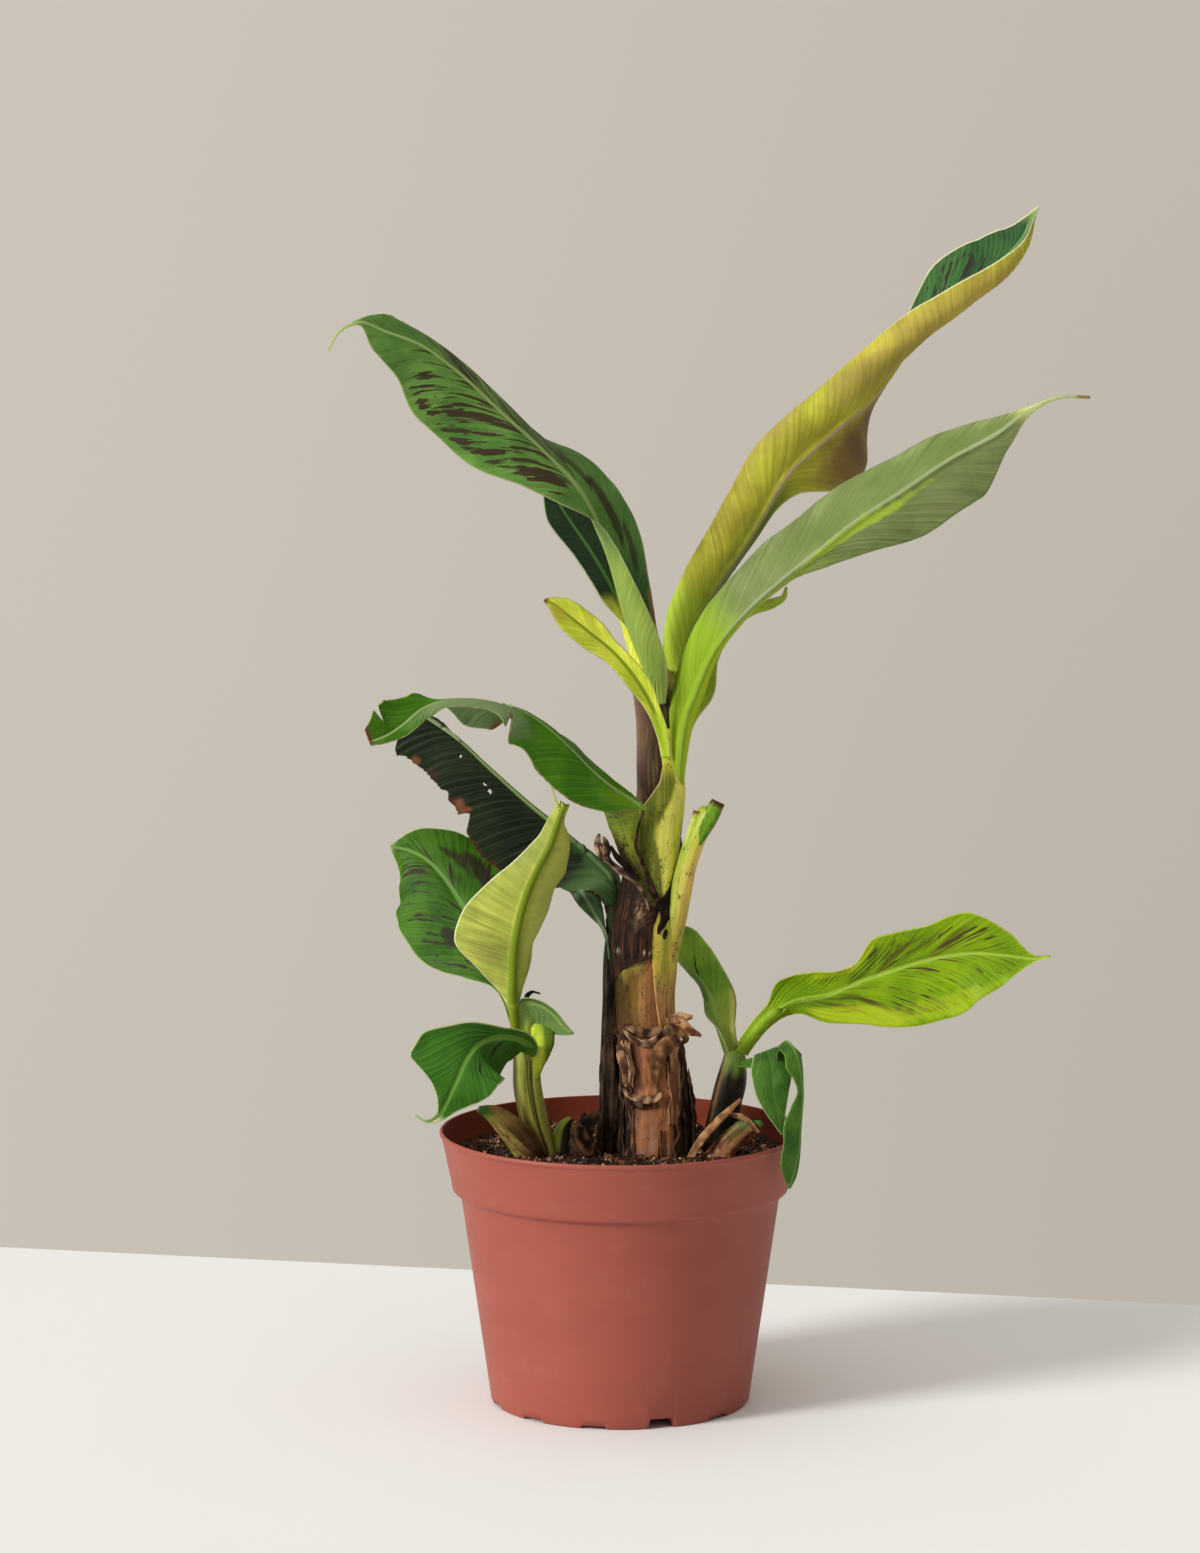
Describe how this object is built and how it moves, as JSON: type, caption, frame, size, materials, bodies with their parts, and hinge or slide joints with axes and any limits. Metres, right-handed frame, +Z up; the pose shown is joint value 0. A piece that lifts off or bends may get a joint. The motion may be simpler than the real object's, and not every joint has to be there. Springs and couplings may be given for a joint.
{
  "type": "potted banana plant",
  "caption": "Young dwarf banana plant in a round plastic nursery pot: a leaning trunk with arching, rolled and torn leaves, leafy side shoots, a cut leaf stalk and dry sheaths.",
  "frame": {"origin": "middle of the pot's flat underside, at the level it stands on", "axes": "+Z up the plant, -Y the side that the picture shows, +X to the right in the picture"},
  "size_m": [0.5095, 0.263, 0.837],
  "materials": {
    "pot_plastic": "satin moulded",
    "potting_mix": "loose bark and peat",
    "trunk_skin": "fibrous",
    "dark_stem": "fibrous",
    "green_stem": "smooth waxy",
    "fresh_sheath": "smooth waxy",
    "dry_husk": "dry papery",
    "leaf_spotted": "satin, with maroon flecks",
    "leaf_olive": "matte underside",
    "leaf_dull": "matte underside",
    "leaf_lime": "satin",
    "leaf_pale": "matte underside",
    "leaf_green": "satin",
    "leaf_dark": "satin, scorched at the edge"
  },
  "bodies": {
    "root": {"pot": "pot_plastic", "soil": "potting_mix", "trunk": "trunk_skin", "side_stem": "dark_stem", "front_sheath": "fresh_sheath", "dry_sheath": "dry_husk", "dry_stub": "dry_husk", "cut_petiole": "green_stem", "left_shoot_stem": "green_stem", "right_shoot_stem": "dark_stem", "middle_shoot": "green_stem", "dead_shoot": "dark_stem", "left_cut_sheath": "fresh_sheath", "right_cut_sheath": "dry_husk", "leaf_upper_left": "leaf_spotted", "leaf_upper_left_back": "leaf_dark", "leaf_top_right": "leaf_olive", "leaf_middle_right": "leaf_dull", "leaf_young_front": "leaf_lime", "leaf_young_back": "leaf_lime", "leaf_arching_left": "leaf_green", "leaf_hanging_left": "leaf_dark", "left_shoot_leaf_back": "leaf_spotted", "left_shoot_leaf_upright": "leaf_pale", "left_shoot_leaf_front": "leaf_green", "left_shoot_leaf_small": "leaf_dull", "right_shoot_leaf_back": "leaf_green", "right_shoot_leaf_long": "leaf_lime", "right_shoot_leaf_hanging": "leaf_green"}
  },
  "joints": []
}
